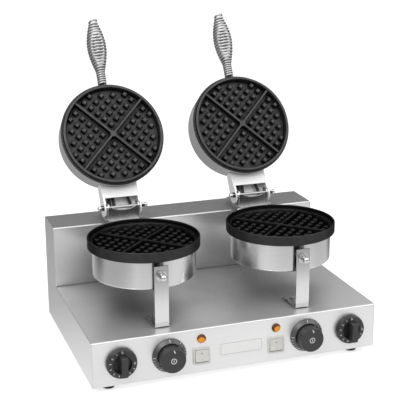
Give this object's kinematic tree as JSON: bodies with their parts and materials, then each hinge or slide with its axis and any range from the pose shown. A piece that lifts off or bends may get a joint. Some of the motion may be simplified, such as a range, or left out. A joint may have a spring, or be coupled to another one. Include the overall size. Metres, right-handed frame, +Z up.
{
  "type": "twin round waffle iron",
  "caption": "Twin round waffle iron: deep-grid plates with hinged lids and coil handles on a stainless housing with thermostats, timers and rocker switches.",
  "frame": {"origin": "middle of the housing's footprint, on the surface that the feet stand on", "axes": "+X to the right seen from the front, +Y to the back, +Z up"},
  "size_m": [0.525, 0.4952, 0.5708],
  "materials": {
    "housing_steel": "brushed stainless sheet",
    "plain_steel": "smooth stainless sheet",
    "strip_steel": "bent stainless strip",
    "feet_rubber": "matt rubber",
    "screw_steel": "zinc plated",
    "polished_steel": "polished",
    "gland_plastic": "moulded nylon",
    "terminal_plastic": "moulded",
    "name_plate_aluminium": "satin, blank",
    "control_metal": "pressed case",
    "dark_plastic": "fine grained phenolic",
    "ivory_plastic": "moulded ivory",
    "amber_plastic": "amber lens",
    "lamp_plastic": "moulded",
    "plate_iron": "seasoned cast iron",
    "element_steel": "oxidised sheath",
    "lead_sleeve": "woven heat sleeve"
  },
  "bodies": {
    "base": {"back_panel": "plain_steel", "base_cover": "housing_steel", "bottom_plate": "plain_steel", "column_cover": "housing_steel", "cord_gland": "gland_plastic", "drum_bolts": "polished_steel", "drum_leg_left": "strip_steel", "drum_leg_right": "strip_steel", "feet": "feet_rubber", "foot_screws": "screw_steel", "hinge_bracket_left": "strip_steel", "hinge_bracket_right": "strip_steel", "hinge_bridge_left": "strip_steel", "hinge_bridge_right": "strip_steel", "hinge_nuts": "polished_steel", "hinge_pin_left": "screw_steel", "hinge_pin_right": "screw_steel", "housing_screws": "screw_steel", "lamp_bodies": "lamp_plastic", "lamp_lenses": "amber_plastic", "lid_leads_left": "lead_sleeve", "lid_leads_right": "lead_sleeve", "lower_drum_left": "plain_steel", "lower_drum_right": "plain_steel", "lower_elements": "element_steel", "lower_plate_left": "plate_iron", "lower_plate_right": "plate_iron", "name_plate": "name_plate_aluminium", "pivot_bushes": "polished_steel", "side_panel_left": "housing_steel", "side_panel_right": "housing_steel", "switch_bodies": "ivory_plastic", "terminal_block": "terminal_plastic", "thermostats": "control_metal", "timer_dials": "dark_plastic", "timers": "control_metal"},
    "lid_left": {"lid_plate_left": "plate_iron", "lid_shell_left": "plain_steel", "lid_element_left": "element_steel", "lid_nut_left": "polished_steel", "lid_arm_left": "strip_steel", "handle_rod_left": "screw_steel", "handle_coil_left": "polished_steel"},
    "thermostat_turner_left": {"thermostat_knob_left": "dark_plastic", "thermostat_shaft_left": "screw_steel"},
    "timer_turner_left": {"timer_knob_left": "dark_plastic", "timer_shaft_left": "screw_steel"},
    "switch_rocker_left": {"rocker_left": "ivory_plastic"},
    "lid_right": {"lid_plate_right": "plate_iron", "lid_shell_right": "plain_steel", "lid_element_right": "element_steel", "lid_nut_right": "polished_steel", "lid_arm_right": "strip_steel", "handle_rod_right": "screw_steel", "handle_coil_right": "polished_steel"},
    "thermostat_turner_right": {"thermostat_knob_right": "dark_plastic", "thermostat_shaft_right": "screw_steel"},
    "timer_turner_right": {"timer_knob_right": "dark_plastic", "timer_shaft_right": "screw_steel"},
    "switch_rocker_right": {"rocker_right": "ivory_plastic"}
  },
  "joints": [
    {"name": "lid_hinge_left", "type": "hinge", "parent": "base", "child": "lid_left", "pos_m": [-0.131, 0.089, 0.241], "axis": [1, 0, 0], "range_deg": [0, 119], "deforming": ["lid_leads_left"]},
    {"name": "thermostat_turn_left", "type": "hinge", "parent": "base", "child": "thermostat_turner_left", "pos_m": [-0.212, -0.18, 0.053], "axis": [0, 1, 0], "range_deg": [0, 270]},
    {"name": "timer_turn_left", "type": "hinge", "parent": "base", "child": "timer_turner_left", "pos_m": [-0.1275, -0.18, 0.053], "axis": [0, 1, 0], "range_deg": [0, 270]},
    {"name": "rocker_tilt_left", "type": "hinge", "parent": "base", "child": "switch_rocker_left", "pos_m": [-0.0693, -0.177, 0.043], "axis": [1, 0, 0], "range_deg": [0, 16]},
    {"name": "lid_hinge_right", "type": "hinge", "parent": "base", "child": "lid_right", "pos_m": [0.131, 0.089, 0.241], "axis": [1, 0, 0], "range_deg": [0, 119], "deforming": ["lid_leads_right"]},
    {"name": "thermostat_turn_right", "type": "hinge", "parent": "base", "child": "thermostat_turner_right", "pos_m": [0.212, -0.18, 0.053], "axis": [0, 1, 0], "range_deg": [0, 270]},
    {"name": "timer_turn_right", "type": "hinge", "parent": "base", "child": "timer_turner_right", "pos_m": [0.1275, -0.18, 0.053], "axis": [0, 1, 0], "range_deg": [0, 270]},
    {"name": "rocker_tilt_right", "type": "hinge", "parent": "base", "child": "switch_rocker_right", "pos_m": [0.0693, -0.177, 0.043], "axis": [1, 0, 0], "range_deg": [0, 16]}
  ]
}
